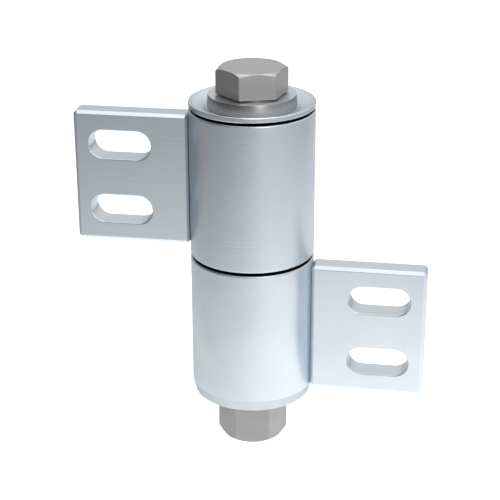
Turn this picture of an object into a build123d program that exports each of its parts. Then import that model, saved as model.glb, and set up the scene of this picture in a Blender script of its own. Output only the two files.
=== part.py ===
from build123d import *
import math
import os

# Barrel hinge for a heavy gate. Millimetres, +Z up.
# The origin is on the hinge axis, half way in height between the two leaves.
# The upper barrel and its leaf lie towards -X, the lower barrel and its leaf towards +X.

# Barrels. The running gap between them reaches up past the origin by its rise.
barrel_radius = 30.0
barrel_wall = 4.0
barrel_length = 72.0
running_gap = 1.6
gap_rise = 0.6
barrel_edge_round = 0.7
bore_edge_chamfer = 0.8

# End cap that closes the lower barrel
cap_height = 5.6
cap_rim_inset = 1.35
cap_edge_chamfer = 0.4

# Leaves, set in from both ends of their barrel
leaf_thickness = 12.0
leaf_gap_margin = 3.4
leaf_end_margin = 3.6
leaf_reach = 85.5
leaf_chamfer = 1.5
cope_depth = 0.3
slot_length = 30.0
slot_width = 14.0
slot_spacing = 32.5
slot_end_margin = 7.5
slot_edge_break = 0.4

# Weld along the back of each leaf root, melted into the leaf's corner
weld_reach = 5.5
weld_depth = 5.0
weld_leg_barrel = 3.5
weld_crown = 0.7
weld_inset = 3.0

# Pivot bolt, M20 x 180
bolt_diameter = 20.0
bolt_length = 180.0
hex_across_flats = 30.0
trim_margin = 1.0
head_height = 13.0
bearing_face_height = 0.6
bearing_face_inset = 0.9
head_chamfer_angle = 30.0
head_turn = 18.5
point_chamfer = 1.6
shank_play = 0.05

# Washer under the head
head_washer_radius = 21.25
head_washer_thickness = 6.0
washer_edge_chamfer = 0.3
washer_play = 0.5

# Dished cover disc
cover_gap = 1.4
cover_rim_thickness = 2.5
cover_rim_land = 0.5
cover_dish_depth = 2.8
cover_edge_round = 0.45
cover_floor_thickness = 2.7
cover_seat_margin = 0.6
cover_lip_play = 0.5

# Lock nut and its washer
nut_height = 20.0
nut_chamfer_angle = 40.0
nut_chamfer_inset = 0.4
nut_bore_chamfer = 0.8
nut_turn = 7.8
nut_washer_radius = 18.5
nut_washer_thickness = 3.0

# Deep-groove ball bearings, 20 x 52 x 15, between the bolt and the bore of the upper barrel.
# The shoulders of both rings are measured from the pitch circle of the balls.
bearing_width = 15.0
ball_diameter = 9.525
ball_count = 7
ball_play = 0.1
race_conformity = 1.04
inner_shoulder_drop = 3.25
outer_shoulder_rise = 2.75
ring_edge_chamfer = 0.8
seal_seat_step = 0.95
seal_seat_depth = 1.5
seal_thickness = 1.1
seal_lip_play = 0.1
cage_ring_width = 2.8
cage_seal_play = 0.4
cage_rise = 2.6
pocket_play = 0.15

# Retaining rings
ring_thickness = 2.0
ring_groove_depth = 1.5
ring_groove_play = 0.1
ring_radial_width = 4.0
ring_opening_angle = 26.0
ring_opening_turn = 90.0
ring_lug_radius = 3.2
ring_lug_inset = 1.1
ring_lug_hole_radius = 1.25

# Spacers: the wall of those on the bolt, and the step of the outer one outside the seal seat
inner_spacer_wall = 3.3
outer_spacer_step = 0.3

# Hub that carries the bolt in the lower barrel
hub_radius = 17.0
hub_bore_play = 0.3
hub_flange_height = 12.0
hub_projection = 2.6
hub_weld_leg = 2.0
hub_weld_face_radius = 4.0

# Heights along the hinge axis, worked out from the sizes above
upper_base = gap_rise
upper_top = upper_base + barrel_length
lower_top = upper_base - running_gap
lower_end = lower_top - barrel_length
cap_top = lower_end + cap_height
cover_base = upper_top + cover_gap
cover_rim_top = cover_base + cover_rim_thickness
dish_floor = cover_rim_top - cover_dish_depth
cover_underside = dish_floor - cover_floor_thickness
head_seat = dish_floor + head_washer_thickness
head_top = head_seat + head_height
bolt_end = head_seat - bolt_length
upper_ring_base = cover_underside - cover_lip_play - ring_thickness
upper_bearing_top = upper_ring_base
upper_bearing_base = upper_bearing_top - bearing_width
lower_ring_base = upper_base + (upper_top - upper_ring_base - ring_thickness)
lower_bearing_base = lower_ring_base + ring_thickness
lower_bearing_top = lower_bearing_base + bearing_width
hub_end = lower_end - hub_projection
nut_top = hub_end - nut_washer_thickness
nut_base = nut_top - nut_height

# Leaf and slot places
leaf_height = barrel_length - leaf_gap_margin - leaf_end_margin
leaf_centre = upper_base + leaf_gap_margin + leaf_height / 2
leaf_root = barrel_radius - cope_depth
leaf_back = leaf_thickness / 2
weld_length = leaf_height - 2 * weld_inset
weld_root_x = math.sqrt(barrel_radius**2 - (leaf_back - weld_depth) ** 2)
weld_toe_x = leaf_root + weld_reach
slot_reach = leaf_reach - slot_end_margin - slot_length / 2

# Radii about the hinge axis
bore_radius = barrel_radius - barrel_wall
bolt_radius = bolt_diameter / 2
shank_radius = bolt_radius - shank_play
hub_bore_radius = bolt_radius + hub_bore_play
washer_bore_radius = bolt_radius + washer_play
pitch_radius = (bolt_radius + bore_radius) / 2
ball_radius = ball_diameter / 2
race_radius = ball_radius * race_conformity
inner_land_radius = pitch_radius - inner_shoulder_drop
outer_land_radius = pitch_radius + outer_shoulder_rise
seal_seat_radius = outer_land_radius + seal_seat_step
spacer_radius = hub_bore_radius + inner_spacer_wall
hex_corner_radius = hex_across_flats / 2 / math.cos(math.radians(30))

os.makedirs("parts", exist_ok=True)


def corner_trim(base, top, flat_radius, angle, both_ends):
    """Half outline of the turned form that trims a hexagon's corners beyond the flat radius."""
    radius = hex_corner_radius + trim_margin
    drop = (radius - flat_radius) * math.tan(math.radians(angle))
    lower_points = [(radius, base)]
    if both_ends:
        lower_points = [(flat_radius, base), (radius, base + drop)]
    return [(0, base), *lower_points, (radius, top - drop), (flat_radius, top), (0, top)]


def finish(piece, name):
    """Label a finished piece and write its STEP file."""
    piece.part.label = name
    export_step(piece.part, f"parts/{name}.step")


# Upper barrel: a tube with a retaining-ring groove near each end
with BuildPart() as upper_barrel:
    with BuildSketch(Plane.XY.offset(upper_base)):
        Circle(barrel_radius)
        Circle(bore_radius, mode=Mode.SUBTRACT)
    extrude(amount=barrel_length)
    bore_rims = upper_barrel.edges().filter_by(GeomType.CIRCLE).sort_by(SortBy.RADIUS)[:2]
    chamfer(bore_rims, bore_edge_chamfer)
    outer_rims = upper_barrel.edges().filter_by(GeomType.CIRCLE).sort_by(SortBy.RADIUS)[-2:]
    fillet(outer_rims, barrel_edge_round)
    for groove_base in (lower_ring_base - ring_groove_play, upper_ring_base):
        with BuildSketch(Plane.XY.offset(groove_base)):
            Circle(bore_radius + ring_groove_depth)
        extrude(amount=ring_thickness + ring_groove_play, mode=Mode.SUBTRACT)
finish(upper_barrel, "upper_barrel")

# Lower barrel: the same tube, shorter by the end cap
with BuildPart() as lower_barrel:
    with BuildSketch(Plane.XY.offset(cap_top)):
        Circle(barrel_radius)
        Circle(bore_radius, mode=Mode.SUBTRACT)
    extrude(amount=lower_top - cap_top)
    top_circles = lower_barrel.edges().filter_by(GeomType.CIRCLE).group_by(Axis.Z)[-1]
    fillet(top_circles.sort_by(SortBy.RADIUS)[-1], barrel_edge_round)
finish(lower_barrel, "lower_barrel")

# End cap of the lower barrel, its rim turned to a slight taper
with BuildPart() as base_cap:
    with BuildSketch(Plane.XZ):
        with BuildLine():
            Polyline(
                (hub_radius, lower_end),
                (barrel_radius - cap_rim_inset, lower_end),
                (barrel_radius, cap_top),
                (hub_radius, cap_top),
                close=True,
            )
        make_face()
    revolve(axis=Axis.Z)
    rim_circles = base_cap.edges().filter_by(GeomType.CIRCLE).group_by(Axis.Z)[0]
    chamfer(rim_circles.sort_by(SortBy.RADIUS)[-1], cap_edge_chamfer)
finish(base_cap, "base_cap")

# Hub: a sleeve for the bolt with a flange that fills the top of the lower barrel
with BuildPart() as lower_hub:
    with BuildSketch(Plane.XZ):
        with BuildLine():
            Polyline(
                (hub_bore_radius, hub_end),
                (hub_radius, hub_end),
                (hub_radius, lower_top - hub_flange_height),
                (bore_radius, lower_top - hub_flange_height),
                (bore_radius, lower_top),
                (hub_bore_radius, lower_top),
                close=True,
            )
        make_face()
    revolve(axis=Axis.Z)
    top_circles = lower_hub.edges().filter_by(GeomType.CIRCLE).group_by(Axis.Z)[-1]
    chamfer(top_circles.sort_by(SortBy.RADIUS)[-1], bore_edge_chamfer)
finish(lower_hub, "lower_hub")

# Weld between the hub and the underside of the end cap
with BuildPart() as hub_weld:
    with BuildSketch(Plane.XZ):
        with BuildLine():
            Polyline(
                (hub_radius + hub_weld_leg, lower_end),
                (hub_radius, lower_end),
                (hub_radius, lower_end - hub_weld_leg),
            )
            RadiusArc(
                (hub_radius, lower_end - hub_weld_leg),
                (hub_radius + hub_weld_leg, lower_end),
                hub_weld_face_radius,
            )
        make_face()
    revolve(axis=Axis.Z)
finish(hub_weld, "hub_weld")

# Leaves: bar with every edge chamfered, two slots, a root coped to the barrel
# and a bevel at the back of the root, which the weld fills
leaf_length = leaf_reach - leaf_root
back_face = Plane.XZ.offset(-leaf_back)
for name, side, centre_height in (("upper_leaf", -1, leaf_centre), ("lower_leaf", 1, -leaf_centre)):
    with BuildPart() as leaf:
        with BuildSketch(back_face):
            with Locations((side * (leaf_root + leaf_length / 2), centre_height)):
                Rectangle(leaf_length, leaf_height)
        extrude(amount=leaf_thickness)
        chamfer(leaf.edges(), leaf_chamfer)
        with BuildSketch(back_face):
            with Locations((side * slot_reach, centre_height)):
                with GridLocations(0, slot_spacing, 1, 2):
                    SlotOverall(slot_length, slot_width)
        extrude(amount=leaf_thickness, mode=Mode.SUBTRACT)
        broad_faces = leaf.faces().filter_by(Axis.Y)
        slot_rims = [wire.edges() for face in broad_faces for wire in face.inner_wires()]
        chamfer(slot_rims, slot_edge_break)
        with BuildSketch(Plane.XY.offset(centre_height - weld_length / 2)):
            with BuildLine():
                Polyline(
                    (side * leaf_root, leaf_back - weld_depth),
                    (side * weld_root_x, leaf_back - weld_depth),
                    (side * weld_toe_x, leaf_back),
                    (side * leaf_root, leaf_back),
                    close=True,
                )
            make_face()
        extrude(amount=weld_length, mode=Mode.SUBTRACT)
        with BuildSketch(Plane.XY.offset(centre_height - leaf_height / 2)):
            Circle(barrel_radius)
        extrude(amount=leaf_height, mode=Mode.SUBTRACT)
    finish(leaf, name)

# Welds: one convex bead in the corner behind each leaf root, let into the leaf's bevel
root_angle = math.degrees(math.asin((leaf_back - weld_depth) / barrel_radius))
back_angle = math.degrees(math.asin(leaf_back / barrel_radius))
toe_angle = back_angle + math.degrees(weld_leg_barrel / barrel_radius)
barrel_toe = Vector(barrel_radius, 0).rotate(Axis.Z, toe_angle)
barrel_middle = Vector(barrel_radius, 0).rotate(Axis.Z, (root_angle + toe_angle) / 2)
leaf_toe = Vector(weld_toe_x, leaf_back)
toe_to_toe = leaf_toe - barrel_toe
crown = (barrel_toe + leaf_toe) * 0.5 + Vector(-toe_to_toe.Y, toe_to_toe.X).normalized() * weld_crown
for name, side, centre_height in (
    ("upper_leaf_weld", -1, leaf_centre),
    ("lower_leaf_weld", 1, -leaf_centre),
):
    with BuildPart() as weld:
        with BuildSketch(Plane.XY.offset(centre_height - weld_length / 2)):
            with BuildLine():
                Line((side * weld_root_x, leaf_back - weld_depth), (side * leaf_toe.X, leaf_toe.Y))
                ThreePointArc(
                    (side * leaf_toe.X, leaf_toe.Y),
                    (side * crown.X, crown.Y),
                    (side * barrel_toe.X, barrel_toe.Y),
                )
                ThreePointArc(
                    (side * barrel_toe.X, barrel_toe.Y),
                    (side * barrel_middle.X, barrel_middle.Y),
                    (side * weld_root_x, leaf_back - weld_depth),
                )
            make_face()
        extrude(amount=weld_length)
    finish(weld, name)

# Pivot bolt: washer-faced hexagon head, plain shank, chamfered point
with BuildPart() as hex_bolt:
    with BuildSketch(Plane.XY.offset(head_seat + bearing_face_height)):
        RegularPolygon(hex_corner_radius, 6, rotation=head_turn)
    extrude(amount=head_height - bearing_face_height)
    with BuildSketch(Plane.XZ):
        with BuildLine():
            trim = corner_trim(head_seat, head_top, hex_across_flats / 2, head_chamfer_angle, False)
            Polyline(*trim, close=True)
        make_face()
    revolve(axis=Axis.Z, mode=Mode.INTERSECT)
    with BuildSketch(Plane.XY.offset(head_seat)):
        Circle(hex_across_flats / 2 - bearing_face_inset)
    extrude(amount=bearing_face_height)
    with BuildSketch(Plane.XY.offset(bolt_end)):
        Circle(shank_radius)
    extrude(amount=bolt_length)
    chamfer(hex_bolt.edges().group_by(Axis.Z)[0], point_chamfer)
finish(hex_bolt, "hex_bolt")

# Thick flat washer in the dish of the cover disc
with BuildPart() as head_washer:
    with BuildSketch(Plane.XY.offset(dish_floor)):
        Circle(head_washer_radius)
        Circle(washer_bore_radius, mode=Mode.SUBTRACT)
    extrude(amount=head_washer_thickness)
    chamfer(head_washer.edges().filter_by(GeomType.CIRCLE), washer_edge_chamfer)
finish(head_washer, "head_washer")

# Cover disc: dished on top, with a lip in the barrel bore and a boss on the bearing
lip_radius = bore_radius - cover_lip_play
dish_radius = head_washer_radius + cover_seat_margin
with BuildPart() as cover_disc:
    with BuildSketch(Plane.XZ):
        with BuildLine():
            Polyline(
                (hub_bore_radius, upper_bearing_top),
                (spacer_radius, upper_bearing_top),
                (spacer_radius, cover_underside),
                (lip_radius, cover_underside),
                (lip_radius, cover_base),
                (barrel_radius, cover_base),
                (barrel_radius, cover_rim_top),
                (barrel_radius - cover_edge_round - cover_rim_land, cover_rim_top),
                (dish_radius, dish_floor),
                (hub_bore_radius, dish_floor),
                close=True,
            )
        make_face()
    revolve(axis=Axis.Z)
    rim_circles = cover_disc.edges().filter_by(GeomType.CIRCLE)
    fillet(rim_circles.sort_by(SortBy.RADIUS)[-2:], cover_edge_round)
finish(cover_disc, "cover_disc")

# Flat washer and all-metal lock nut under the hub
with BuildPart() as nut_washer:
    with BuildSketch(Plane.XY.offset(nut_top)):
        Circle(nut_washer_radius)
        Circle(washer_bore_radius, mode=Mode.SUBTRACT)
    extrude(amount=nut_washer_thickness)
    chamfer(nut_washer.edges().filter_by(GeomType.CIRCLE), washer_edge_chamfer)
finish(nut_washer, "nut_washer")

with BuildPart() as lock_nut:
    with BuildSketch(Plane.XY.offset(nut_base)):
        RegularPolygon(hex_corner_radius, 6, rotation=nut_turn)
    extrude(amount=nut_height)
    with BuildSketch(Plane.XZ):
        with BuildLine():
            flat_radius = hex_across_flats / 2 - nut_chamfer_inset
            trim = corner_trim(nut_base, nut_top, flat_radius, nut_chamfer_angle, True)
            Polyline(*trim, close=True)
        make_face()
    revolve(axis=Axis.Z, mode=Mode.INTERSECT)
    with BuildSketch(Plane.XY.offset(nut_base)):
        Circle(bolt_radius)
    extrude(amount=nut_height, mode=Mode.SUBTRACT)
    bore_rims = lock_nut.edges().filter_by(GeomType.CIRCLE).sort_by(SortBy.RADIUS)[:2]
    chamfer(bore_rims, nut_bore_chamfer)
finish(lock_nut, "lock_nut")

# Spacers on the bolt: one between the inner rings, one across the running gap
for name, low, high in (
    ("inner_spacer", lower_bearing_top, upper_bearing_base),
    ("gap_spacer", lower_top, lower_bearing_base),
):
    with BuildPart() as spacer:
        with BuildSketch(Plane.XY.offset(low)):
            Circle(spacer_radius)
            Circle(hub_bore_radius, mode=Mode.SUBTRACT)
        extrude(amount=high - low)
    finish(spacer, name)

# Spacer tube between the outer rings
with BuildPart() as outer_spacer:
    with BuildSketch(Plane.XY.offset(lower_bearing_top)):
        Circle(bore_radius)
        Circle(seal_seat_radius + outer_spacer_step, mode=Mode.SUBTRACT)
    extrude(amount=upper_bearing_base - lower_bearing_top)
finish(outer_spacer, "outer_spacer")

# Retaining rings: open spring rings with a lug and a plier hole at each end
ring_outer = bore_radius + ring_groove_depth - ring_groove_play
ring_inner = ring_outer - ring_radial_width
opening_start = ring_opening_turn - ring_opening_angle / 2
opening_end = ring_opening_turn + ring_opening_angle / 2
lug_reach = ring_inner - ring_lug_inset
lug_half_angle = math.degrees(ring_lug_radius / lug_reach)
lug_angles = (opening_start - lug_half_angle, opening_end + lug_half_angle)
for name, base in (
    ("upper_retaining_ring", upper_ring_base),
    ("lower_retaining_ring", lower_ring_base),
):
    with BuildPart() as retaining_ring:
        with BuildSketch(Plane.XY.offset(base)):
            Circle(ring_outer)
            Circle(ring_inner, mode=Mode.SUBTRACT)
            with BuildLine():
                opening_reach = Vector(2 * ring_outer, 0)
                Polyline(
                    (0, 0),
                    opening_reach.rotate(Axis.Z, opening_start),
                    opening_reach.rotate(Axis.Z, opening_end),
                    close=True,
                )
            make_face(mode=Mode.SUBTRACT)
            for angle in lug_angles:
                with PolarLocations(lug_reach, 1, start_angle=angle):
                    Circle(ring_lug_radius)
            for angle in lug_angles:
                with PolarLocations(lug_reach, 1, start_angle=angle):
                    Circle(ring_lug_hole_radius, mode=Mode.SUBTRACT)
        extrude(amount=ring_thickness)
    finish(retaining_ring, name)

# Ball bearings: two rings with ball grooves, seven balls, a snap-in cage and two seals
for place, base in (("lower", lower_bearing_base), ("upper", upper_bearing_base)):
    top = base + bearing_width
    middle = base + bearing_width / 2

    with BuildPart() as inner_ring:
        with BuildSketch(Plane.XY.offset(base)):
            Circle(inner_land_radius)
            Circle(bolt_radius, mode=Mode.SUBTRACT)
        extrude(amount=bearing_width)
        bore_rims = inner_ring.edges().filter_by(GeomType.CIRCLE).sort_by(SortBy.RADIUS)[:2]
        chamfer(bore_rims, ring_edge_chamfer)
        with BuildSketch(Plane.XZ):
            with Locations((pitch_radius - ball_radius - ball_play + race_radius, middle)):
                Circle(race_radius)
        revolve(axis=Axis.Z, mode=Mode.SUBTRACT)
    finish(inner_ring, f"{place}_bearing_inner_ring")

    with BuildPart() as outer_ring:
        with BuildSketch(Plane.XY.offset(base)):
            Circle(bore_radius)
            Circle(outer_land_radius, mode=Mode.SUBTRACT)
        extrude(amount=bearing_width)
        outer_rims = outer_ring.edges().filter_by(GeomType.CIRCLE).sort_by(SortBy.RADIUS)[-2:]
        chamfer(outer_rims, ring_edge_chamfer)
        for seat in (base, top - seal_seat_depth):
            with BuildSketch(Plane.XY.offset(seat)):
                Circle(seal_seat_radius)
            extrude(amount=seal_seat_depth, mode=Mode.SUBTRACT)
        with BuildSketch(Plane.XZ):
            with Locations((pitch_radius + ball_radius + ball_play - race_radius, middle)):
                Circle(race_radius)
        revolve(axis=Axis.Z, mode=Mode.SUBTRACT)
    finish(outer_ring, f"{place}_bearing_outer_ring")

    with BuildPart() as balls:
        with Locations(Plane.XY.offset(middle)):
            with PolarLocations(pitch_radius, ball_count):
                Sphere(ball_radius)
    finish(balls, f"{place}_bearing_balls")

    with BuildPart() as cage:
        cage_drop = bearing_width / 2 - seal_seat_depth - cage_seal_play
        with BuildSketch(Plane.XY.offset(middle - cage_drop)):
            Circle(pitch_radius + cage_ring_width / 2)
            Circle(pitch_radius - cage_ring_width / 2, mode=Mode.SUBTRACT)
        extrude(amount=cage_drop + cage_rise)
        with Locations(Plane.XY.offset(middle)):
            with PolarLocations(pitch_radius, ball_count):
                Sphere(ball_radius + pocket_play, mode=Mode.SUBTRACT)
    finish(cage, f"{place}_bearing_cage")

    for face, seal_base in (
        ("lower", base + seal_seat_depth - seal_thickness),
        ("upper", top - seal_seat_depth),
    ):
        with BuildPart() as seal:
            with BuildSketch(Plane.XY.offset(seal_base)):
                Circle(seal_seat_radius)
                Circle(inner_land_radius + seal_lip_play, mode=Mode.SUBTRACT)
            extrude(amount=seal_thickness)
        finish(seal, f"{place}_bearing_{face}_seal")
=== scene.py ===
import bmesh
import bpy
import numpy as np
from mathutils import Matrix, Vector


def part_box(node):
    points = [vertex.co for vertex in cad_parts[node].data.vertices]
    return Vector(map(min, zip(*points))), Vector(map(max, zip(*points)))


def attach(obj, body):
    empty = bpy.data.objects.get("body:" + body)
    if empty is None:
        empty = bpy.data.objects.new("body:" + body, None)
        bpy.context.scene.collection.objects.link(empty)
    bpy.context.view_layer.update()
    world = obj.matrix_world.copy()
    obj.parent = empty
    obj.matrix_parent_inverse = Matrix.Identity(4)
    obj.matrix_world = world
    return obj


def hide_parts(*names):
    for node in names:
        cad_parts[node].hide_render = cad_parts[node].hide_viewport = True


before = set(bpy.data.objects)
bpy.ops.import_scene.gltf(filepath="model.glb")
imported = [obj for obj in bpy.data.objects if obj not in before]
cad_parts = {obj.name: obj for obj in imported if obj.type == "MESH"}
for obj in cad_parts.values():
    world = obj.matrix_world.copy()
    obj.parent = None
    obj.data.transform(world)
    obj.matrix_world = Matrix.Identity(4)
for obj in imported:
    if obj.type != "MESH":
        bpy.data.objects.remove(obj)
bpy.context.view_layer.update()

# Camera of the photograph: a long lens a little to the right of the barrels, looking down on them.
# Its place and turn were solved from the outlines of the barrels and leaves, and its shift is half
# a pixel, as a share of the frame's 500.
CAMERA_PLACE = (0.101917, -0.632552, 0.265736)
CAMERA_RIGHT = (0.98721, 0.15945, -0.00253)
CAMERA_UP = (-0.05876, 0.37845, 0.92376)
CAMERA_BACK = (0.14825, -0.91179, 0.38297)
LENS = 102.33
SENSOR = 36
HALF_PIXEL = 0.001

camera_data = bpy.data.cameras.new("photograph_camera")
camera_data.sensor_width = SENSOR
camera_data.lens = LENS
camera_data.shift_x = -HALF_PIXEL
camera_data.shift_y = HALF_PIXEL
camera = bpy.data.objects.new("photograph_camera", camera_data)
camera.matrix_world = Matrix(np.column_stack([
    [*CAMERA_RIGHT, 0],
    [*CAMERA_UP, 0],
    [*CAMERA_BACK, 0],
    [*CAMERA_PLACE, 1],
]).tolist())
bpy.context.scene.collection.objects.link(camera)
bpy.context.scene.camera = camera

# Lower barrel: a length of 60 x 4 mm steel tube, turned outside, plated with bright zinc and passivated to
# a faint blue. It stands still, and its top end and bore are painted black, as painted shade in the
# running gaps.
MM = 0.001


def box_of(node):
    """Lowest and highest corner of a CAD node at rest, in millimetres."""
    low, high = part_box(node)
    return np.array(low) / MM, np.array(high) / MM


BARREL_RADIUS = box_of("lower_barrel")[1][0]
BARREL_ZINC = ("#DDE5EB", "#D4DEE7")
ZINC_EDGE = "#C8CBCE"
# Painted shade for the running gaps: a near-black colour, its roughness, the width over which it fades in,
# and the outer skin left free of it.
GAP_SHADE = "#0B0C0D"
GAP_SHADE_ROUGHNESS = 0.5
GAP_SHADE_FADE = 0.15
UNSHADED_SKIN = 0.5
CLOUD_DETAIL = 3.0
MARK_DETAIL = 2.0
NOISE_LOW = 0.3
NOISE_HIGH = 0.7


def linear(code):
    """An sRGB hex colour as linear light: each channel is divided by 12.92 up to 0.04045, and above
    it 0.055 is added, the sum divided by 1.055 and raised to 2.4."""
    channels = np.array([int(code[at:at + 2], 16) for at in (1, 3, 5)]) / 255
    curved = ((channels + 0.055) / 1.055) ** 2.4
    return (*np.where(channels <= 0.04045, channels / 12.92, curved).tolist(), 1.0)


def add_node(tree, kind, inputs=None, **settings):
    """Adds a node, gives it its settings, and sets each named input to a value or links it to a
    socket."""
    node = tree.nodes.new(kind)
    for name, value in settings.items():
        setattr(node, name, value)
    for name, value in (inputs or {}).items():
        if isinstance(value, bpy.types.NodeSocket):
            tree.links.new(value, node.inputs[name])
        else:
            node.inputs[name].default_value = value
    return node


def hinge_place(tree):
    """The object's coordinates, the distance from the hinge axis and the height."""
    place = add_node(tree, "ShaderNodeTexCoord").outputs["Object"]
    flat = add_node(tree, "ShaderNodeVectorMath", {0: place, 1: (1, 1, 0)}, operation="MULTIPLY")
    reach = add_node(tree, "ShaderNodeVectorMath", {0: flat.outputs["Vector"]}, operation="LENGTH")
    height = add_node(tree, "ShaderNodeSeparateXYZ", {"Vector": place}).outputs["Z"]
    return place, reach.outputs["Value"], height


def finish(name, tones, roughness, cloud, marks, depth, edge=None, turned=False):
    """A finish whose colour drifts between two close tones, and its roughness between two values,
    in clouds of a size in millimetres. Its marks are noise stretched to a spacing in millimetres,
    one for all or one each along X, Y and Z, as bumps of the depth given. On a turned piece the
    marks run round, because the noise changes only with the distance from the hinge axis and with
    the height. A metal has an edge colour, which it takes where it is seen at a low angle."""
    material = bpy.data.materials.new(name)
    material.use_nodes = True
    tree = material.node_tree
    shader = tree.nodes["Principled BSDF"]
    place, reach, height = hinge_place(tree)
    drift = add_node(tree, "ShaderNodeTexNoise", {
        "Vector": place,
        "Scale": 1 / (cloud * MM),
        "Detail": CLOUD_DETAIL,
    })
    tone = add_node(tree, "ShaderNodeMix", {
        "Factor": drift.outputs["Fac"],
        "A": linear(tones[0]),
        "B": linear(tones[1]),
    }, data_type="RGBA")
    tree.links.new(tone.outputs["Result"], shader.inputs["Base Color"])
    sheen = add_node(tree, "ShaderNodeMapRange", {
        "Value": drift.outputs["Fac"],
        "From Min": NOISE_LOW,
        "From Max": NOISE_HIGH,
        "To Min": roughness[0],
        "To Max": roughness[1],
    })
    tree.links.new(sheen.outputs["Result"], shader.inputs["Roughness"])
    if turned:
        place = add_node(tree, "ShaderNodeCombineXYZ", {"X": reach, "Z": height}).outputs["Vector"]
    stretched = add_node(tree, "ShaderNodeMapping", {
        "Vector": place,
        "Scale": (1 / (np.broadcast_to(marks, 3) * MM)).tolist(),
    })
    relief = add_node(tree, "ShaderNodeTexNoise", {
        "Vector": stretched.outputs["Vector"],
        "Scale": 1.0,
        "Detail": MARK_DETAIL,
    })
    bump = add_node(tree, "ShaderNodeBump", {
        "Height": relief.outputs["Fac"],
        "Distance": depth * MM,
        "Strength": 1.0,
    })
    tree.links.new(bump.outputs["Normal"], shader.inputs["Normal"])
    if edge:
        shader.inputs["Metallic"].default_value = 1.0
        shader.inputs["Specular Tint"].default_value = linear(edge)
    return material


def within(tree, length, full, none):
    """1 where a length is under the first number of millimetres, falling to 0 at the second."""
    return add_node(tree, "ShaderNodeMapRange", {
        "Value": length,
        "From Min": full * MM,
        "From Max": none * MM,
        "To Min": 1.0,
        "To Max": 0.0,
    }).outputs["Result"]


def lay_over(material, share, tone, roughness, metallic=0.0):
    """Lays another surface, such as black painted shade, over a finish where the share is 1: colour,
    roughness and metallic are mixed from the finish's own to the new ones by the share."""
    tree = material.node_tree
    shader = tree.nodes["Principled BSDF"]
    for socket, value, kind in (
        ("Base Color", linear(tone), "RGBA"),
        ("Roughness", roughness, "FLOAT"),
        ("Metallic", metallic, "FLOAT"),
    ):
        under = shader.inputs[socket]
        before = under.links[0].from_socket if under.is_linked else under.default_value
        if before == value:
            continue
        mixed = add_node(tree, "ShaderNodeMix", {"Factor": share, "A": before, "B": value}, data_type=kind)
        tree.links.new(mixed.outputs["Result"], under)


def paint_gap_shade_inside(material, radius):
    """Black painted shade on all of a piece that lies nearer the hinge axis than a radius."""
    tree = material.node_tree
    reach = hinge_place(tree)[1]
    lay_over(material, within(tree, reach, radius - GAP_SHADE_FADE, radius), GAP_SHADE, GAP_SHADE_ROUGHNESS)


def dress(material, *nodes):
    """Gives carried-over CAD nodes a material in every slot."""
    for node in nodes:
        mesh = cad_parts[node].data
        for slot in range(len(mesh.materials)):
            mesh.materials[slot] = material


# Zinc over a turned skin: bright and faintly blue, in soft clouds, greyer at a low angle. Turning
# lines are 0.1 mm apart and too fine to show, so they are drawn at 1 mm.
barrel_zinc = finish(
    "zinc_plated_turned_steel",
    BARREL_ZINC,
    roughness=(0.31, 0.37),
    cloud=18,
    marks=1.0,
    depth=0.042,
    edge=ZINC_EDGE,
    turned=True,
)
# Painted shade: the barrel is black wherever it lies more than 0.5 mm inside its outer skin, on its end
# faces and in its bore.
paint_gap_shade_inside(barrel_zinc, BARREL_RADIUS - UNSHADED_SKIN)
dress(barrel_zinc, "lower_barrel")

# End cap: a thick disc turned from bar, pressed into the foot of the barrel and welded before
# plating. Its tapered rim shows as a paler band, because it leans down towards the floor.
# Painted shade: the cap's zinc is a darker grey than the barrel's, for the shaded floor under the hinge
# that it mirrors.
CAP_ZINC = ("#C8D0D3", "#C0C9CC")

# Zinc over a coarser turned face: duller than the barrel, and painted a greyer tone as painted shade. Its
# lines are 0.1 mm apart and drawn at 0.7 mm.
cap_zinc = finish(
    "zinc_plated_end_cap",
    CAP_ZINC,
    roughness=(0.42, 0.5),
    cloud=9,
    marks=0.7,
    depth=0.004,
    edge=ZINC_EDGE,
    turned=True,
)
dress(cap_zinc, "base_cap")

# Hub: a turned steel sleeve with a flange, which centres the bolt in the lower barrel. It is
# pressed in, and a ring of weld holds it to the underside of the end cap.
hub_weld_low, hub_weld_high = box_of("hub_weld")
HUB_WELD_TOP = hub_weld_high[2]
HUB_WELD_LEG = hub_weld_high[2] - hub_weld_low[2]
HUB_RADIUS = hub_weld_high[0] - HUB_WELD_LEG
HUB_WELD_CROWN = 0.14
HUB_WELD_RIPPLE = 0.06
HUB_RIPPLES = 84
HUB_RIPPLE_LAG = 2.5
HUB_WELD_AROUND = 289
HUB_WELD_ACROSS = 9
MERGE_REACH = 0.001
STEEL = ("#B4B4B3", "#ABABAA")
STEEL_EDGE = "#DADADA"
WELD_ZINC = ("#C9D0D6", "#BAC3CC")

# Machined steel: plain grey, with tool lines that are 0.1 mm apart and drawn at 0.8 mm.
machined_steel = finish(
    "machined_steel",
    STEEL,
    roughness=(0.36, 0.44),
    cloud=12,
    marks=0.8,
    depth=0.002,
    edge=STEEL_EDGE,
    turned=True,
)
dress(machined_steel, "lower_hub")

# Weld metal under zinc: a duller, slightly lumpy grey whose grain is drawn at its real 1.5 mm.
weld_zinc = finish(
    "zinc_over_weld_metal",
    WELD_ZINC,
    roughness=(0.36, 0.48),
    cloud=5,
    marks=1.5,
    depth=0.02,
    edge=ZINC_EDGE,
)


def grid_cells(rows, columns):
    """The four corner numbers of each cell in a grid of points that are numbered row by row."""
    index = np.arange(rows * columns).reshape(rows, columns)
    cells = np.stack([index[:-1, :-1], index[:-1, 1:], index[1:, 1:], index[1:, :-1]], axis=-1)
    return cells.reshape(-1, 4).tolist()


def put_piece(name, mesh, material, body, slot, *nodes):
    """Puts a mesh into the scene with one material, and says which body it rides on and which CAD nodes it
    stands for. The slot is not used."""
    mesh.materials.clear()
    mesh.materials.append(material)
    piece = bpy.data.objects.new(name, mesh)
    bpy.context.scene.collection.objects.link(piece)
    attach(piece, body)
    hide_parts(*nodes)
    return piece


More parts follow.
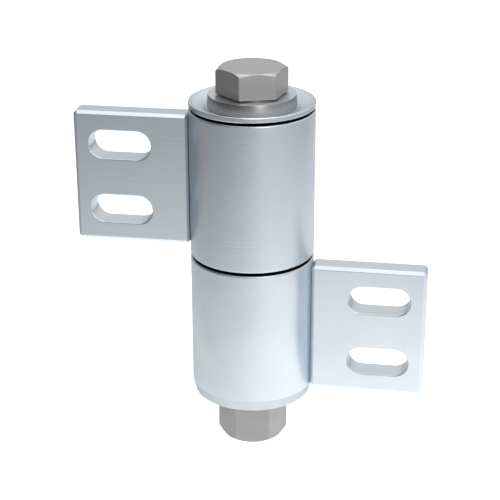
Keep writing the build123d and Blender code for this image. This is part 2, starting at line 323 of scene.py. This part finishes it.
def mesh_from_grid(name, grid, material, body, slot, *nodes):
    """A piece from a grid of points in millimetres, rows by columns: each cell is one face. Points
    that lie on each other at seams and poles are merged, faces are turned outwards, and each
    point's normal is the sum of its faces' normals times their areas, so that wide faces stay flat
    beside narrow rounds."""
    mesh = bpy.data.meshes.new(name)
    mesh.from_pydata((grid.reshape(-1, 3) * MM).tolist(), [], grid_cells(*grid.shape[:2]))
    shape = bmesh.new()
    shape.from_mesh(mesh)
    bmesh.ops.remove_doubles(shape, verts=shape.verts, dist=MERGE_REACH * MM)
    bmesh.ops.recalc_face_normals(shape, faces=shape.faces)
    shape.to_mesh(mesh)
    shape.free()
    mesh.shade_smooth()
    areas = np.empty(len(mesh.polygons))
    mesh.polygons.foreach_get("area", areas)
    normals = np.empty(len(mesh.polygons) * 3)
    mesh.polygons.foreach_get("normal", normals)
    sizes = np.empty(len(mesh.polygons), dtype=int)
    mesh.polygons.foreach_get("loop_total", sizes)
    corners = np.empty(len(mesh.loops), dtype=int)
    mesh.loops.foreach_get("vertex_index", corners)
    weighted = np.repeat(normals.reshape(-1, 3) * areas[:, None], sizes, axis=0)
    summed = np.zeros((len(mesh.vertices), 3))
    np.add.at(summed, corners, weighted)
    mesh.normals_split_custom_set_from_vertices(
        (summed / np.linalg.norm(summed, axis=1, keepdims=True)).tolist()
    )
    put_piece(name, mesh, material, body, slot, *nodes)


def around_axis(profile, direction):
    """Points of a profile, given as radius and height per direction, carried round the hinge axis."""
    reach, height = profile[..., 0], profile[..., 1]
    return np.stack([reach * np.cos(direction), reach * np.sin(direction), height], axis=-1)


def hub_weld_bead():
    """A ring of fillet weld: its face is a straight line from toe to toe, raised by a parabola and
    by ripples, a cosine of the angle that lags at the middle of the bead."""
    direction = np.linspace(0, 2 * np.pi, HUB_WELD_AROUND)
    across = np.linspace(0, 1, HUB_WELD_ACROSS)[:, None]
    bow = 4 * across * (1 - across)
    ripple = np.cos(HUB_RIPPLES * direction - HUB_RIPPLE_LAG * bow)
    lift = bow * (HUB_WELD_CROWN + HUB_WELD_RIPPLE * ripple)
    face = np.stack([
        HUB_RADIUS + HUB_WELD_LEG * across + lift,
        HUB_WELD_TOP - HUB_WELD_LEG * (1 - across) - lift,
    ], axis=-1)
    root = np.broadcast_to([HUB_RADIUS, HUB_WELD_TOP], (1, len(direction), 2))
    return around_axis(np.concatenate([face, root, face[:1]]), direction)


mesh_from_grid("hub_weld_bead", hub_weld_bead(), weld_zinc, "lower_half", "weld_metal", "hub_weld")

# Lower leaf: 12 mm flat bar, sawn, chamfered all round and slotted, then welded to the barrel and
# plated with it. Its long faces keep the rolling grain of the bar, which runs away from the barrel.
LEAF_BACK = box_of("lower_leaf")[1][1]
BAR_ZINC = ("#E2EAF0", "#D9E3EC")
EDGE_ROUND = 0.24
EDGE_ROUND_STEPS = 2

# Edges that bend by less than the first angle are merged away, and those over the second are eased.
FLATTEST_EDGE = 0.01
SOFTEST_EDGE = np.radians(20)

# Zinc over rolled bar: as bright as the barrel's. The grain is real at 0.3 mm and drawn at 1.2 mm.
BAR_FINISH = {
    "roughness": (0.29, 0.35),
    "cloud": 14,
    "marks": (40, 1.2, 1.2),
    "depth": 0.025,
    "edge": ZINC_EDGE,
}
bar_zinc = finish("zinc_plated_rolled_bar", BAR_ZINC, **BAR_FINISH)


def eased_copy(node, name, body, slot, material):
    """A copy of a CAD node with its flat faces merged and its sharp edges eased by a small round."""
    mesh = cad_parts[node].data.copy()
    mesh.name = name
    shape = bmesh.new()
    shape.from_mesh(mesh)
    bmesh.ops.remove_doubles(shape, verts=shape.verts, dist=MERGE_REACH * MM)
    bmesh.ops.dissolve_limit(shape, angle_limit=FLATTEST_EDGE, verts=shape.verts, edges=shape.edges)
    shape.to_mesh(mesh)
    shape.free()
    if "custom_normal" in mesh.attributes:
        mesh.attributes.remove(mesh.attributes["custom_normal"])
    mesh.shade_smooth()
    piece = put_piece(name, mesh, material, body, slot, node)
    easing = piece.modifiers.new("eased_edges", "BEVEL")
    easing.width = EDGE_ROUND * MM
    easing.segments = EDGE_ROUND_STEPS
    easing.limit_method = "ANGLE"
    easing.angle_limit = SOFTEST_EDGE
    easing.harden_normals = True


eased_copy("lower_leaf", "lower_leaf_bar", "lower_half", "zinc_plated_steel", bar_zinc)

# Weld behind the lower leaf: one hand-laid bead in the corner between leaf and barrel, its ripples
# left as they froze, then zinc plated with the rest.
WELD_CROWN = 0.7
WELD_TAPER = 2.2
WELD_END_SHARE = 0.35
WELD_ALONG = 361
WELD_ACROSS = 15
RIPPLE_PITCH = 1.3
RIPPLE_HEIGHT = 0.14
RIPPLE_SWEEP = 1.1


def leaf_weld_bead(node):
    """One bead along Z where the CAD weld lies. Its front is a straight line from toe to toe, raised
    by a parabola of the crown's height and by ripples: a cosine of the height less a curved lag
    across the bead, so that each ripple is a crescent. Its back is the fillet's root, which lies on
    the barrel. Towards both ends the front sinks to the root by the square root of the distance
    from the end, down to a share of its size."""
    low, high = box_of(node)
    side = np.sign(low[0])
    nearest, farthest = np.sort(np.abs([low[0], high[0]]))
    root = np.array([np.sqrt(BARREL_RADIUS**2 - low[1]**2), low[1]])
    leaf_toe = np.array([farthest, LEAF_BACK])
    barrel_toe = np.array([nearest, high[1]])
    half_length = (high[2] - low[2]) / 2
    along = np.linspace(-1, 1, WELD_ALONG)[:, None]
    across = np.linspace(0, 1, WELD_ACROSS)[None, :]
    height = along * half_length
    fullness = np.sqrt(np.clip((1 - np.abs(along)) * half_length / WELD_TAPER, 0, 1))
    bow = 4 * across * (1 - across)
    wave = np.cos(2 * np.pi * (height - RIPPLE_SWEEP * bow) / RIPPLE_PITCH)
    lift = bow * (WELD_CROWN - RIPPLE_HEIGHT + RIPPLE_HEIGHT * wave)
    chord = barrel_toe - leaf_toe
    outward = np.array([chord[1], -chord[0]]) / np.hypot(*chord)
    face = leaf_toe + chord * across[..., None] + outward * lift[..., None]
    face = root + (face - root) * (WELD_END_SHARE + (1 - WELD_END_SHARE) * fullness[..., None])
    loop = np.concatenate([face, np.broadcast_to(root, (len(along), 1, 2)), face[:, :1]], axis=1)
    heights = np.broadcast_to(height + (high[2] + low[2]) / 2, loop.shape[:2])
    grid = np.stack([side * loop[..., 0], loop[..., 1], heights], axis=-1)
    ends = np.broadcast_to(grid.mean(axis=1, keepdims=True), grid.shape)
    return np.concatenate([ends[:1], grid, ends[-1:]])


mesh_from_grid(
    "lower_leaf_bead",
    leaf_weld_bead("lower_leaf_weld"),
    weld_zinc,
    "lower_half",
    "weld_metal",
    "lower_leaf_weld",
)

# Pivot bolt: an M20 x 180 hexagon bolt, forged, its thread rolled and its head trimmed to a 30
# degree chamfer. It clamps hub, spacers, inner rings, cover disc and washers into one stack.
bolt_low, bolt_high = box_of("hex_bolt")
BOLT_END = bolt_low[2]
HEAD_TOP = bolt_high[2]
HEAD_SEAT = box_of("head_washer")[1][2]
HEAD_FLAT = 14.85
HEAD_CHAMFER = np.radians(30)
BEARING_FACE_RADIUS = 14.1
BEARING_FACE_HEIGHT = 0.6
SHANK_RADIUS = 9.95
POINT_CHAMFER = 1.6
THREAD_PITCH = 2.5
THREAD_RADIUS = 9.97
THREAD_DEPTH = 0.6134 * THREAD_PITCH
THREAD_LENGTH = 52.0
THREAD_STEPS = 12
FORGED = ("#BABABA", "#B3B3B3")
FORGED_EDGE = "#F2F2F2"

# A hexagon of 30 mm across flats. A corner lies 30 degrees from the middle of a flat, and one flat
# of the head faces 18.5 degrees to the right of the front.
APOTHEM = 15.0
HEX_EDGE_ROUND = 0.35
CORNER = 30
CORNER_BAND = 3
CORNER_STEPS = 5
FLAT_BAND = 24
FLAT_STEPS = 13
FRONT = -90
HEAD_TURN = np.radians(FRONT + 18.5)

# How far the bolt's corners are eased: the head's top edge, the foot of its chamfer, its lower edge,
# the bearing face's root and edge, and the fillet under the head.
HEAD_ROUNDS = (0.3, 0.45, 0.2, 0.05, 0.1, 0.4)
LONGEST_EASE = 0.45
EASE_STEPS = 4


def hexagon_directions(turn):
    """Directions once round a hexagon, from corner to corner and closer together near all six."""
    corner = np.linspace(CORNER - CORNER_BAND, CORNER, CORNER_STEPS)
    fold = np.concatenate([-corner[::-1], np.linspace(-FLAT_BAND, FLAT_BAND, FLAT_STEPS), corner[:-1]])
    flats = 2 * CORNER * np.arange(6)[:, None]
    return np.radians(np.append((flats + fold).ravel(), 360 - CORNER)) + turn


def hexagon_reach(direction, turn):
    """Distance from the axis to a hexagon with rounded corners: along a flat, the apothem over the
    cosine of the angle from the flat's middle, and near a corner, the far side of a circle whose
    centre lies on the corner's line."""
    corner = np.radians(CORNER)
    fold = (direction - turn + corner) % (2 * corner) - corner
    inner = APOTHEM - HEX_EDGE_ROUND
    centre = inner / np.cos(corner)
    lean = corner - np.abs(fold)
    chord = np.sqrt(np.clip(HEX_EDGE_ROUND**2 - (centre * np.sin(lean)) ** 2, 0, None))
    on_corner = np.abs(fold) > np.arctan(inner * np.tan(corner) / APOTHEM)
    return np.where(on_corner, centre * np.cos(lean) + chord, APOTHEM / np.cos(fold))


def profile_corners(direction, *corners):
    """Corners of a profile for each direction, from pairs of radius and height, each a number or
    one value per direction."""
    spread = (np.broadcast_arrays(*corner, direction)[:2] for corner in corners)
    return np.stack([np.stack(pair, axis=-1) for pair in spread])


def eased_profile(corners, rounds):
    """A profile whose inner corners are eased: each is replaced by a parabola that leaves one side
    and joins the next at the round's distance, or at under half the side where that is shorter."""
    middle = corners[1:-1]
    ease = np.reshape(rounds, (-1, 1, 1))
    starts, ends = (
        middle + side * np.minimum(ease / np.linalg.norm(side, axis=-1, keepdims=True), LONGEST_EASE)
        for side in (corners[:-2] - middle, corners[2:] - middle)
    )
    step = np.linspace(0, 1, EASE_STEPS).reshape(1, -1, 1, 1)
    curves = (1 - step) ** 2 * starts[:, None] + 2 * step * (1 - step) * middle[:, None]
    curves = curves + step**2 * ends[:, None]
    return np.concatenate([corners[:1], curves.reshape(-1, *corners.shape[1:]), corners[-1:]])


def thread_reach(direction, height, major):
    """Radius of an ISO thread's surface: a triangle wave of the height less the turned share of one
    pitch, cut flat an eighth below its peaks, and again at a depth of 0.6134 of the pitch."""
    turn = (height / THREAD_PITCH - direction / (2 * np.pi)) % 1.0
    full_height = THREAD_PITCH * np.sqrt(3) / 2
    wave = major + full_height / 8 - full_height * np.abs(2 * turn - 1)
    return np.clip(wave, major - THREAD_DEPTH, major)


def pivot_bolt():
    """Head, plain shank and threaded end as one profile for each direction. The chamfer is a cone,
    so its lower edge drops with the hexagon's reach and curves down at every corner."""
    direction = hexagon_directions(HEAD_TURN)
    reach = hexagon_reach(direction, HEAD_TURN)
    thread_top = BOLT_END + THREAD_LENGTH
    head = eased_profile(profile_corners(
        direction,
        (0, HEAD_TOP),
        (HEAD_FLAT, HEAD_TOP),
        (reach, HEAD_TOP - (reach - HEAD_FLAT) * np.tan(HEAD_CHAMFER)),
        (reach, HEAD_SEAT + BEARING_FACE_HEIGHT),
        (BEARING_FACE_RADIUS, HEAD_SEAT + BEARING_FACE_HEIGHT),
        (BEARING_FACE_RADIUS, HEAD_SEAT),
        (SHANK_RADIUS, HEAD_SEAT),
        (SHANK_RADIUS, thread_top),
    ), HEAD_ROUNDS)
    height = np.arange(thread_top, BOLT_END, -THREAD_PITCH / THREAD_STEPS)[:, None] + 0 * direction
    run_in = np.clip((thread_top - height) / THREAD_PITCH, 0, 1)
    thread = SHANK_RADIUS - (SHANK_RADIUS - thread_reach(direction, height, THREAD_RADIUS)) * run_in
    point = SHANK_RADIUS - POINT_CHAMFER + np.maximum(height - BOLT_END, 0)
    thread = np.stack([np.minimum(thread, point), height], axis=-1)
    end = profile_corners(direction, (SHANK_RADIUS - POINT_CHAMFER, BOLT_END), (0, BOLT_END))
    return around_axis(np.concatenate([head[:-1], thread, end]), direction)


# Forged and tumbled steel: an even neutral grey with soft clouds and a fine pitting drawn at 3 mm.
forged_steel = finish(
    "forged_and_tumbled_steel",
    FORGED,
    roughness=(0.34, 0.41),
    cloud=8,
    marks=3,
    depth=0.001,
    edge=FORGED_EDGE,
)
mesh_from_grid("pivot_bolt", pivot_bolt(), forged_steel, "lower_half", "plain_steel", "hex_bolt")

# Two 20 x 52 x 15 ball bearings: the inner rings are clamped on the bolt, the outer rings turn with
# the upper barrel. Rings and balls are hardened chromium steel, ground and lapped.
RING_STEEL = ("#C9CCD0", "#C1C5CA")
BALL_STEEL = ("#D6D8DA", "#CFD2D5")
NYLON = ("#D9CFB4", "#CFC4A6")
NYLON_SCATTER = 0.15
NYLON_SCATTER_DEPTH = 1.5
RUBBER = ("#1B1B1C", "#232324")

# Ground rings: bright, with grinding lines that are 0.05 mm apart and drawn at 0.6 mm.
ring_steel = finish(
    "ground_bearing_steel",
    RING_STEEL,
    roughness=(0.14, 0.2),
    cloud=10,
    marks=0.6,
    depth=0.0006,
    edge=STEEL_EDGE,
    turned=True,
)
# Lapped balls: mirror bright, without lines, in faint clouds of oil.
ball_steel = finish(
    "lapped_ball_steel",
    BALL_STEEL,
    roughness=(0.05, 0.12),
    cloud=3,
    marks=2,
    depth=0.0002,
    edge=STEEL_EDGE,
)
# Moulded nylon: the cages' natural cream, slightly soft in gloss, with a fine mould grain.
cage_nylon = finish(
    "moulded_natural_nylon",
    NYLON,
    roughness=(0.38, 0.5),
    cloud=4,
    marks=0.6,
    depth=0.01,
)
nylon_shader = cage_nylon.node_tree.nodes["Principled BSDF"]
nylon_shader.inputs["Subsurface Weight"].default_value = NYLON_SCATTER
nylon_shader.inputs["Subsurface Scale"].default_value = NYLON_SCATTER_DEPTH * MM
# Nitrile rubber: dull black seal faces with moulded rings 1 mm apart.
seal_rubber = finish(
    "moulded_nitrile_rubber",
    RUBBER,
    roughness=(0.52, 0.64),
    cloud=5,
    marks=1.0,
    depth=0.03,
    turned=True,
)

for bearing in ("lower_bearing", "upper_bearing"):
    dress(ring_steel, f"{bearing}_inner_ring", f"{bearing}_outer_ring")
    dress(ball_steel, f"{bearing}_balls")
    dress(cage_nylon, f"{bearing}_cage")
    dress(seal_rubber, f"{bearing}_lower_seal", f"{bearing}_upper_seal")

# Spacers and retaining rings: three turned sleeves set the bearings apart, and two sprung rings
# with plier holes, stamped and phosphated black, hold the outer rings in the barrel.
PHOSPHATE = ("#4B4D50", "#3F4144")

# Phosphated spring steel: a dark grey conversion coat with a crystal grain drawn at 0.8 mm.
ring_phosphate = finish(
    "phosphated_spring_steel",
    PHOSPHATE,
    roughness=(0.4, 0.52),
    cloud=3,
    marks=0.8,
    depth=0.004,
    edge=STEEL_EDGE,
)
dress(machined_steel, "inner_spacer", "outer_spacer", "gap_spacer")
dress(ring_phosphate, "lower_retaining_ring", "upper_retaining_ring")

# Upper barrel: the same tube and plating as the lower one. It turns on the bearings with the gate, and
# both of its ends are painted black, as painted shade of the running gaps.
dress(barrel_zinc, "upper_barrel")

# Upper leaf and its weld: the same bar, bead and plating as below. In front its root meets the barrel in a
# sharp groove, along which a dark line of painted shade is drawn.
SEAM_SHADE = "#14171A"
SEAM_SHADE_ROUGHNESS = 0.6
SEAM_SHADE_DARK = 0.2
SEAM_SHADE_END = 0.7

# The same zinc over rolled bar, with painted shade that is black for 0.2 mm from the barrel and gone after
# 0.7 mm.
zinc_with_seam_shade = finish("zinc_plated_bar_with_painted_seam_shade", BAR_ZINC, **BAR_FINISH)
tree = zinc_with_seam_shade.node_tree
# Painted shade: a black line along the groove where the leaf's root meets the barrel.
seam = within(tree, hinge_place(tree)[1], BARREL_RADIUS + SEAM_SHADE_DARK, BARREL_RADIUS + SEAM_SHADE_END)
lay_over(zinc_with_seam_shade, seam, SEAM_SHADE, SEAM_SHADE_ROUGHNESS)
eased_copy("upper_leaf", "upper_leaf_bar", "upper_half", "zinc_plated_steel", zinc_with_seam_shade)
mesh_from_grid(
    "upper_leaf_bead",
    leaf_weld_bead("upper_leaf_weld"),
    weld_zinc,
    "upper_half",
    "weld_metal",
    "upper_leaf_weld",
)

# Cover disc: a dished disc turned from bar and zinc plated, clamped by the bolt over the upper barrel. It
# stands still, with its boss on the bearing and a narrow gap under its rim that is painted black, as
# painted shade.
COVER_GAP = 1.4
RIM_UNDERSIDE = box_of("upper_barrel")[1][2] + COVER_GAP
DISH_FLOOR = box_of("head_washer")[0][2]
RIM_INNER = 25.0
ROUND_INNER = 28.6
FACING_FADE = 0.6
FACING_ROUGHNESS = 0.5
FACE_MARGIN = 0.05
UNSHADED_LIP = 0.4
UNSHADED_LIP_FADE = 0.2
COVER_ZINC = ("#E1E9EE", "#D9E1E8")

# Zinc over a faced disc: the faced top is duller than the rounded rim, which mirrors the lamps as a
# thin bright line. Its lines are 0.1 mm apart and drawn at 0.9 mm.
cover_zinc = finish(
    "zinc_plated_faced_disc",
    COVER_ZINC,
    roughness=(0.26, 0.32),
    cloud=12,
    marks=0.9,
    depth=0.002,
    edge=ZINC_EDGE,
    turned=True,
)
tree = cover_zinc.node_tree
reach, height = hinge_place(tree)[1:]
faced = within(tree, reach, ROUND_INNER - FACING_FADE, ROUND_INNER)
lay_over(cover_zinc, faced, COVER_ZINC[0], FACING_ROUGHNESS, metallic=1.0)

# Black painted shade covers all that lies below the dish's floor, and under the rim all but its outer lip.
below_dish = within(tree, height, DISH_FLOOR - GAP_SHADE_FADE, DISH_FLOOR - FACE_MARGIN)
below_rim = within(tree, height, RIM_UNDERSIDE + FACE_MARGIN, RIM_UNDERSIDE + FACE_MARGIN + GAP_SHADE_FADE)
inside_lip = within(tree, reach, BARREL_RADIUS - UNSHADED_LIP - UNSHADED_LIP_FADE, BARREL_RADIUS - UNSHADED_LIP)
outside_dish = add_node(tree, "ShaderNodeMath", {0: reach, 1: RIM_INNER * MM}, operation="GREATER_THAN")
rim_shade_mask = add_node(tree, "ShaderNodeMath", {
    0: below_rim,
    1: outside_dish.outputs["Value"],
}, operation="MULTIPLY")
under_rim = add_node(tree, "ShaderNodeMath", {
    0: rim_shade_mask.outputs["Value"],
    1: inside_lip,
}, operation="MULTIPLY")
gap_shade_mask = add_node(tree, "ShaderNodeMath", {
    0: below_dish,
    1: under_rim.outputs["Value"],
}, operation="MAXIMUM")
# Painted shade: the cover is black below the dish's floor and under its rim, inside the outer lip.
lay_over(cover_zinc, gap_shade_mask.outputs["Value"], GAP_SHADE, GAP_SHADE_ROUGHNESS)
dress(cover_zinc, "cover_disc")

# Head washer: a 6 mm plain washer, blanked from plate. Blanking drew its rim in towards the top by a
# rounded 0.55 mm. Its faces are ground bright, and the rim is smoother and painted a darker grey, as
# painted shade.
WASHER_RADIUS = box_of("head_washer")[1][0]
WASHER_BORE = 10.5
WASHER_AROUND = 241
RIM_DRAW = 0.55
RIM_STEPS = 12
RIM_ROUND = 0.1
TOP_EDGE_ROUND = 0.12
LOWER_EDGE_ROUND = 0.25
WASHER_FACE = ("#DCDEE0", "#D6D8DA")
WASHER_RIM_SHADE = "#A2A2A2"
WASHER_RIM_SHADE_ROUGHNESS = 0.35


def drawn_washer():
    """Bore, top face, rim and bottom face as one closed profile. The rim's radius is the full one
    less the draw times the square of the share of the height, so it rounds over towards the top."""
    direction = np.linspace(0, 2 * np.pi, WASHER_AROUND)
    rim = [
        (WASHER_RADIUS - RIM_DRAW * share**2, DISH_FLOOR + (HEAD_SEAT - DISH_FLOOR) * share)
        for share in np.linspace(1, 0, RIM_STEPS)
    ]
    corners = profile_corners(direction, (WASHER_BORE, HEAD_SEAT), *rim, (WASHER_BORE, DISH_FLOOR))
    rounds = (TOP_EDGE_ROUND, *[RIM_ROUND] * (RIM_STEPS - 2), LOWER_EDGE_ROUND)
    ring = eased_profile(corners, rounds)
    return around_axis(np.concatenate([ring, ring[:1]]), direction)


# Ground steel: the lightest grey here, with grinding lines 0.1 mm apart and drawn at 0.8 mm. Over the rim
# lies a smoother finish in a darker grey, which is painted shade.
washer_steel = finish(
    "ground_washer_steel",
    WASHER_FACE,
    roughness=(0.38, 0.44),
    cloud=8,
    marks=0.8,
    depth=0.0006,
    edge=STEEL_EDGE,
    turned=True,
)
tree = washer_steel.node_tree
top_radius = WASHER_RADIUS - RIM_DRAW
on_face = within(tree, hinge_place(tree)[1], top_radius - TOP_EDGE_ROUND, top_radius)
rim_shade_mask = add_node(tree, "ShaderNodeMath", {0: 1.0, 1: on_face}, operation="SUBTRACT").outputs["Value"]
# Painted shade: the rim, below the eased top edge, takes the darker grey.
lay_over(washer_steel, rim_shade_mask, WASHER_RIM_SHADE, WASHER_RIM_SHADE_ROUGHNESS, metallic=1.0)
mesh_from_grid("drawn_washer", drawn_washer(), washer_steel, "lower_half", "plain_steel", "head_washer")

# Lock nut and its washer: a 20 mm high all-metal nut, cold forged with both ends chamfered, and a
# 3 mm washer, both under the hub.
nut_low, nut_high = box_of("lock_nut")
NUT_BASE = nut_low[2]
NUT_TOP = nut_high[2]
NUT_FLAT = 14.6
NUT_CHAMFER = np.radians(40)
NUT_TOP_CHAMFER = np.radians(20)
NUT_TURN = np.radians(FRONT + 7.8)
NUT_ROUNDS = (0.15, 0.2, 0.2, 0.15)
NUT_THREAD_PLAY = 0.05
NUT_THREAD_START = 0.01
NUT_BORE_CHAMFER = 0.8
NUT_STEEL = ("#A5A5A5", "#9F9F9F")


def thick_nut():
    """The outside from top to bottom, then the threaded bore back up. Cones cut both ends of the
    hexagon, so the flats end in arcs."""
    direction = hexagon_directions(NUT_TURN)
    reach = hexagon_reach(direction, NUT_TURN)
    bore = THREAD_RADIUS + NUT_THREAD_PLAY + NUT_BORE_CHAMFER
    outside = eased_profile(profile_corners(
        direction,
        (bore, NUT_TOP),
        (NUT_FLAT, NUT_TOP),
        (reach, NUT_TOP - (reach - NUT_FLAT) * np.tan(NUT_TOP_CHAMFER)),
        (reach, NUT_BASE + (reach - NUT_FLAT) * np.tan(NUT_CHAMFER)),
        (NUT_FLAT, NUT_BASE),
        (bore, NUT_BASE),
    ), NUT_ROUNDS)
    height = np.arange(NUT_BASE + NUT_THREAD_START, NUT_TOP, THREAD_PITCH / THREAD_STEPS)
    height = height[:, None] + 0 * direction
    thread = thread_reach(direction, height, THREAD_RADIUS) + NUT_THREAD_PLAY
    mouth = bore - np.minimum(height - NUT_BASE, NUT_TOP - height)
    inside = np.stack([np.maximum(thread, mouth), height], axis=-1)
    return around_axis(np.concatenate([outside, inside, outside[:1]]), direction)


# Cold-forged steel: darker than the bolt, very even, with the same fine pitting.
nut_steel = finish(
    "cold_forged_nut_steel",
    NUT_STEEL,
    roughness=(0.42, 0.48),
    cloud=8,
    marks=3,
    depth=0.001,
    edge=FORGED_EDGE,
)
mesh_from_grid("thick_nut", thick_nut(), nut_steel, "lower_half", "plain_steel", "lock_nut")
dress(machined_steel, "nut_washer")

# Floor: a plain pale table well below the hinge, clear from underneath. The camera sees it pure white.
# Metal mirrors a painted pool of light on it, which runs back behind the hinge and fades outwards. Its
# sizes are in metres.
FLOOR_HEIGHT = -0.25
FLOOR_HALF = 7.0
FLOOR_CELLS = 40
FLOOR_GREY = "#D9D9D9"
FLOOR_GLOW = 0.89
POOL_CENTRE = (0.162, 0.005)
POOL_TURN = np.radians(9.25)
POOL_STRETCH = 0.06
POOL_INNER = 0.06
POOL_OUTER = 1.12
POOL_EDGE = 0.21
BLACK = (0, 0, 0, 1)
WHITE = (1, 1, 1, 1)

floor_mesh = bpy.data.meshes.new("studio_floor")
side = np.linspace(-FLOOR_HALF, FLOOR_HALF, FLOOR_CELLS + 1)
grid = np.stack([*np.meshgrid(side, side), np.full((side.size, side.size), FLOOR_HEIGHT)], axis=-1)
floor_mesh.from_pydata(grid.reshape(-1, 3).tolist(), [], grid_cells(side.size, side.size))
floor = bpy.data.objects.new("studio_floor", floor_mesh)
bpy.context.scene.collection.objects.link(floor)

# Matt paper with a painted pool of light: its colour is pale grey near the hinge and painted dark outside
# the pool, so that the edges of the metal mirror a darker room.
floor_light_pool_paint = bpy.data.materials.new("studio_floor_with_painted_light_pool")
floor_light_pool_paint.use_nodes = True
tree = floor_light_pool_paint.node_tree
shader = tree.nodes["Principled BSDF"]
place = add_node(tree, "ShaderNodeTexCoord").outputs["Object"]
centred = add_node(tree, "ShaderNodeVectorMath", {0: place, 1: (*POOL_CENTRE, 0)}, operation="SUBTRACT")
turned = add_node(tree, "ShaderNodeVectorRotate", {
    "Vector": centred.outputs["Vector"],
    "Angle": -POOL_TURN,
}, rotation_type="Z_AXIS")
parts = add_node(tree, "ShaderNodeSeparateXYZ", {"Vector": turned.outputs["Vector"]})
front = add_node(tree, "ShaderNodeMath", {0: parts.outputs["Y"], 1: 0.0}, operation="MINIMUM")
back = add_node(tree, "ShaderNodeMath", {0: parts.outputs["Y"], 1: 0.0}, operation="MAXIMUM")
depth = add_node(tree, "ShaderNodeMath", {
    0: back.outputs["Value"],
    1: POOL_STRETCH,
    2: front.outputs["Value"],
}, operation="MULTIPLY_ADD")
flat = add_node(tree, "ShaderNodeCombineXYZ", {"X": parts.outputs["X"], "Y": depth.outputs["Value"]})
reach = add_node(tree, "ShaderNodeVectorMath", {0: flat.outputs["Vector"]}, operation="LENGTH")
pool = add_node(tree, "ShaderNodeMapRange", {
    "Value": reach.outputs["Value"],
    "From Min": POOL_INNER,
    "From Max": POOL_OUTER,
    "To Min": 1.0,
    "To Max": POOL_EDGE,
}, interpolation_type="SMOOTHSTEP").outputs["Result"]
# Painted pool of light: the colour falls from pale grey to black, and the glow seen by mirrored rays falls
# with it.
paint = add_node(tree, "ShaderNodeMix", {
    "Factor": pool,
    "A": BLACK,
    "B": linear(FLOOR_GREY),
}, data_type="RGBA")
rays = add_node(tree, "ShaderNodeLightPath").outputs
mirrored = add_node(tree, "ShaderNodeMath", {
    0: rays["Is Glossy Ray"],
    1: rays["Is Transmission Ray"],
}, operation="ADD")
pooled = add_node(tree, "ShaderNodeMath", {0: mirrored.outputs["Value"], 1: pool}, operation="MULTIPLY")
glow = add_node(tree, "ShaderNodeMath", {
    0: pooled.outputs["Value"],
    1: FLOOR_GLOW,
    2: rays["Is Camera Ray"],
}, operation="MULTIPLY_ADD")
tree.links.new(paint.outputs["Result"], shader.inputs["Base Color"])
tree.links.new(glow.outputs["Value"], shader.inputs["Emission Strength"])
shader.inputs["Roughness"].default_value = 1.0
shader.inputs["Specular IOR Level"].default_value = 0.0
shader.inputs["Emission Color"].default_value = WHITE
underside = add_node(tree, "ShaderNodeNewGeometry").outputs["Backfacing"]
clear = add_node(tree, "ShaderNodeBsdfTransparent").outputs["BSDF"]
one_sided = add_node(tree, "ShaderNodeMixShader", {0: underside, 1: shader.outputs["BSDF"], 2: clear})
tree.links.new(one_sided.outputs["Shader"], tree.nodes["Material Output"].inputs["Surface"])
floor_mesh.materials.append(floor_light_pool_paint)

# Studio room: even white walls and ceiling, with a dark wall at the front left that draws the grey
# side of the barrels, and two white softboxes.
ROOM_LIGHT = 0.85
ROOM_DARK = 0.05
DARK_WALL = np.radians(300)
DARK_POWER = 0.73

# The room darkens with the cosine of the angle from the dark wall's middle, raised to a power.
world = bpy.data.worlds.new("studio_room")
bpy.context.scene.world = world
world.use_nodes = True
tree = world.node_tree
background = tree.nodes["Background"]
view = add_node(tree, "ShaderNodeTexCoord").outputs["Generated"]
level = add_node(tree, "ShaderNodeVectorMath", {0: view, 1: (1, 1, 0)}, operation="MULTIPLY")
level = add_node(tree, "ShaderNodeVectorMath", {0: level.outputs["Vector"]}, operation="NORMALIZE")
facing = add_node(tree, "ShaderNodeVectorMath", {
    0: level.outputs["Vector"],
    1: (float(np.sin(DARK_WALL)), float(-np.cos(DARK_WALL)), 0.0),
}, operation="DOT_PRODUCT")
facing = add_node(tree, "ShaderNodeMath", {0: facing.outputs["Value"], 1: 0.0}, operation="MAXIMUM")
darkness = add_node(tree, "ShaderNodeMath", {0: facing.outputs["Value"], 1: DARK_POWER}, operation="POWER")
room = add_node(tree, "ShaderNodeMapRange", {
    "Value": darkness.outputs["Value"],
    "To Min": ROOM_LIGHT,
    "To Max": ROOM_DARK,
})
tree.links.new(room.outputs["Result"], background.inputs["Strength"])
background.inputs["Color"].default_value = WHITE


def softbox(name, place, size, radiance):
    """A square lamp that faces the hinge. Its power is its radiance times pi times its area."""
    data = bpy.data.lights.new(name, "AREA")
    data.shape = "SQUARE"
    data.size = size
    data.energy = radiance * np.pi * size**2
    lamp = bpy.data.objects.new(name, data)
    lamp.location = place
    lamp.rotation_euler = (-Vector(place)).to_track_quat("-Z", "Y").to_euler()
    bpy.context.scene.collection.objects.link(lamp)


softbox("overhead_softbox", place=(0.0, -0.05, 1.1), size=1.25, radiance=1.15)
softbox("front_right_softbox", place=(0.58, -1.0, 0.30), size=0.35, radiance=4.8)

bpy.context.scene.view_settings.view_transform = "Standard"
